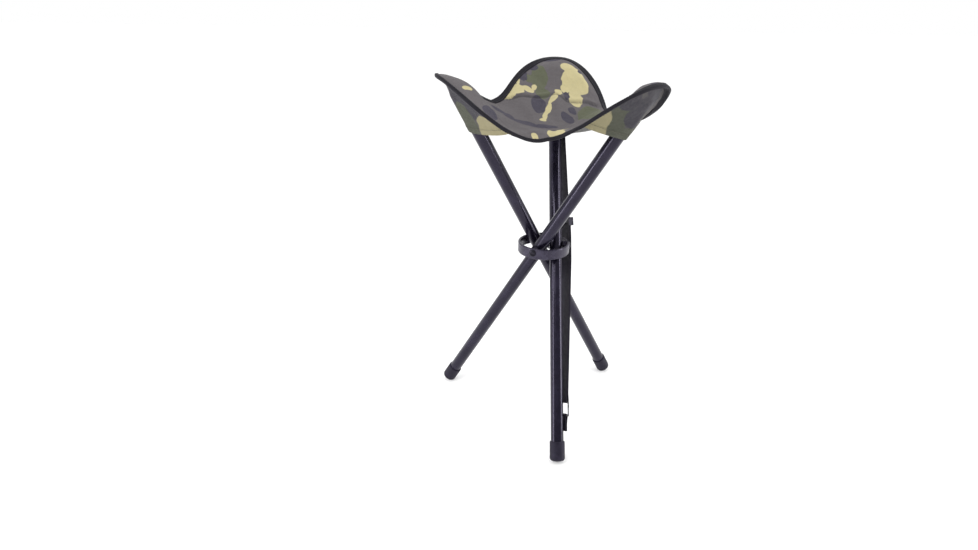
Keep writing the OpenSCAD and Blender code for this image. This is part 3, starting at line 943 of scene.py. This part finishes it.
for leg in LEGS:
    cloth = seat_pieces[leg]
    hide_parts("seat_panel")
    extras = [binding_pieces[leg], *stitch_pieces[leg]]
    for piece in (cloth, *extras):
        bend_with(piece)
    panel, sewing, pocket_area = pockets[leg]
    for piece in (panel, sewing):
        bend_with(piece)

# ---------------------------------------------------------------- the carry strap

STRAP_W = 26
STRAP_T = 1.4
TAB_W = 18
STRAP_TURN = math.radians(24)
WIRE_X = 13.3


def strap_frame(points):
    """From the strap's own axes (out from the leg, across the strap, up the leg) to the model's."""
    across, out, along, pivot = leg_axes(1)
    outward = math.cos(STRAP_TURN) * across + math.sin(STRAP_TURN) * out
    sideways = -math.sin(STRAP_TURN) * across + math.cos(STRAP_TURN) * out
    points = np.asarray(points, float)
    return pivot + points[..., 0:1] * outward + points[..., 1:2] * sideways + points[..., 2:3] * along


def upper_run(s):
    """A point of the strap above the hub ring, where it comes in to the leg as it rises."""
    share = (s - 20) / 168
    return [25.6 - 14.8 * share, 10 * (1 - share), s]


def half_turn(x, y, s, radius, start, stop):
    """Points round a wire that lies along the strap's width."""
    turns = np.radians(np.linspace(start, stop, 7))
    return [[x + radius * math.cos(t), y, s + radius * math.sin(t)] for t in turns]


def ribbon(name, route, material, width=STRAP_W, thick=STRAP_T, start_flat=0.0):
    """A flat woven strap along a route in the strap's axes, its width across them."""
    path = np.asarray(route, float)
    along = np.concatenate([[0], np.cumsum(np.linalg.norm(np.diff(path, axis=0), axis=1))])
    tangent = unit(np.gradient(path, axis=0))
    sideways = np.array([0.0, 1.0, 0.0])
    face = unit(np.cross(tangent, sideways))
    half = width / 2
    outline = [(-half, 0), (-half + 0.25, 0.42), (-half + 0.9, 0.52), (-half + 2.2, 0.5)]
    outline += [(x, 0.5) for x in (-half * 0.6, -half * 0.3, 0, half * 0.3, half * 0.6)]
    outline += [(half - 2.2, 0.5), (half - 0.9, 0.52), (half - 0.25, 0.42), (half, 0)]
    lower = [(x, -y) for x, y in outline[1:-1]][::-1]
    outline = outline + lower
    rings, flats = [], []
    for p, f, a in zip(path, face, along):
        for x, y in outline:
            rings.append(p + sideways * x + f * y * thick)
            flats.append((x * MM, (a + start_flat) * MM, y))
    rows, columns = len(path), len(outline)
    faces = grid_faces(rows, columns, closed=True)
    faces.append(list(range(columns))[::-1])
    faces.append([(rows - 1) * columns + k for k in range(columns)])
    return mesh_object(name, strap_frame(rings), faces, material, flat=flats)


down = [upper_run(s) for s in (188, 150, 100, 60)]
strap_route = [[10.8, 0, 209], [10.8, 0, 200], *down, [25.6, 10, 20], [25.6, 10, -22], [19.2, 6.5, -130]]
strap_route += [[12.6, 3.2, -234]]
strap_route += half_turn(WIRE_X, 3, -247, 2.1, 180, 360)
strap_route += [[14.7, 3.2, -234], [20.8, 6.5, -130], [27.2, 10, -22], [27.2, 10, 20]]
last = upper_run(44)
strap_route += [[last[0] + 1.6, last[1], last[2]]]


def densify(route, spacing=2.5):
    """The route with straight runs cut into short steps."""
    route = np.asarray(route, float)
    out = [route[0]]
    for a, b in zip(route[:-1], route[1:]):
        steps = max(1, int(np.linalg.norm(b - a) / spacing))
        for k in range(1, steps + 1):
            out.append(a + (b - a) * k / steps)
    return np.array(out)


def soften(path, rounds):
    """The path with its corners eased, its ends kept."""
    path = path.copy()
    for _ in range(rounds):
        path[1:-1] = (path[:-2] + 2 * path[1:-1] + path[2:]) / 4
    return path


strap_path = soften(densify(strap_route), 2)
carry_strap = ribbon("carry_strap_webbing", strap_path, strap_cloth)
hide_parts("carry_strap")
tab_route = [[10.8, 0, -292], [10.8, 0, -281], *half_turn(WIRE_X, 2.4, -268, 2.1, 180, 0), [12.4, 0, -281]]
tab_route += [[12.4, 0, -292]]
tab_path = soften(densify(tab_route, 1.5), 1)
strap_tab = ribbon("strap_tab_webbing", tab_path, strap_cloth, width=TAB_W, start_flat=700)
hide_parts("strap_tab")
for piece in (carry_strap, strap_tab):
    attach(piece, "leg_1")

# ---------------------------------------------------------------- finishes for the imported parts

coat = powder_coat()
cap_rubber = rubber()
moulded = nylon()
black_steel = steel("black steel", (0.014, 0.013, 0.018, 1), (0.038, 0.036, 0.046, 1), 0.28, 0.42)
bright_steel = steel("plain steel", (0.13, 0.13, 0.14, 1), (0.27, 0.27, 0.28, 1), 0.22, 0.36)
FINISH = {
    "leg_tube": coat,
    "foot_cap": cap_rubber,
    "top_plug": moulded,
    "hub_ring": moulded,
    "pivot_washer": moulded,
    "strap_slider": black_steel,
    "pivot_rivet": black_steel,
    "strap_top_rivet": black_steel,
    "strap_tab_rivet": black_steel,
    "inner_washer": bright_steel,
    "strap_ring": bright_steel,
}
for name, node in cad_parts.items():
    for start, finish in FINISH.items():
        if name.startswith(start):
            if not node.material_slots:
                node.data.materials.append(finish)
            for slot in node.material_slots:
                slot.material = finish

# ---------------------------------------------------------------- floor, light and camera


def floor():
    mesh = bpy.data.meshes.new("floor")
    half = 12
    corners = [(-half, -half, 0), (half, -half, 0), (half, half, 0), (-half, half, 0)]
    mesh.from_pydata(corners, [], [(0, 1, 2, 3)])
    material, tree, shader = new_material("studio floor")
    grain = noise(tree, place(tree), 2.0, 4).outputs["Fac"]
    colour = mix(tree, grain, (0.84, 0.84, 0.84, 1), (0.87, 0.87, 0.87, 1))
    shade(tree, shader, Base_Color=colour, Roughness=0.9, Specular_IOR_Level=0.1)
    shade(tree, shader, Emission_Color=(1, 1, 1, 1), Emission_Strength=0.2)
    mesh.materials.append(material)
    made = bpy.data.objects.new("floor", mesh)
    bpy.context.collection.objects.link(made)


def soft_light(name, spot, target, width, height, power):
    data = bpy.data.lights.new(name, "AREA")
    data.shape = "RECTANGLE"
    data.size = width
    data.size_y = height
    data.energy = power
    made = bpy.data.objects.new(name, data)
    bpy.context.collection.objects.link(made)
    made.location = spot
    made.rotation_euler = (Vector(target) - Vector(spot)).to_track_quat("-Z", "Y").to_euler()


def studio_world():
    """Soft white surroundings, brightest behind the stool and overhead, as a white paper sweep gives."""
    world = bpy.data.worlds.new("studio")
    bpy.context.scene.world = world
    world.use_nodes = True
    tree = world.node_tree
    direction = add(tree, "ShaderNodeTexCoord").outputs["Generated"]
    split = add(tree, "ShaderNodeSeparateXYZ", {0: direction})
    behind = ramp(tree, split.outputs[1], -0.75, 0.25, 0.30, 1.0)
    overhead = ramp(tree, split.outputs[2], 0.25, 0.9, 0.0, 0.35)
    glow = maths(tree, "ADD", behind, overhead)
    background = tree.nodes["Background"]
    background.inputs["Color"].default_value = (1, 1, 1, 1)
    tree.links.new(glow, background.inputs["Strength"])


floor()
studio_world()
soft_light("key", (-1.4, -1.6, 2.2), (0, 0, 0.35), 0.9, 0.9, 26)
soft_light("strip left", (-1.5, -0.6, 0.5), (0, 0, 0.25), 0.25, 1.3, 12)
soft_light("strip right", (1.5, -0.35, 0.6), (0, 0, 0.25), 0.25, 1.3, 14)

CAMERA_SPOT = (-0.1061, -0.9689, 0.3730 + PIVOT_Z * MM)
YAW, PITCH, ROLL = (math.radians(a) for a in (1.14, 23.74, 0.87))


def camera():
    look = Vector((math.sin(YAW) * math.cos(PITCH), math.cos(YAW) * math.cos(PITCH), -math.sin(PITCH)))
    right = Vector((math.cos(YAW), -math.sin(YAW), 0))
    up = right.cross(look)
    rolled_right = math.cos(ROLL) * right + math.sin(ROLL) * up
    rolled_up = -math.sin(ROLL) * right + math.cos(ROLL) * up
    data = bpy.data.cameras.new("camera")
    data.sensor_fit = "HORIZONTAL"
    data.sensor_width = 36
    data.lens = 23.85
    data.clip_start = 0.01
    made = bpy.data.objects.new("camera", data)
    bpy.context.collection.objects.link(made)
    turned = Matrix((rolled_right, rolled_up, -look)).transposed().to_4x4()
    made.matrix_world = Matrix.Translation(CAMERA_SPOT) @ turned
    bpy.context.scene.camera = made


camera()
bpy.context.scene.view_settings.view_transform = "Standard"
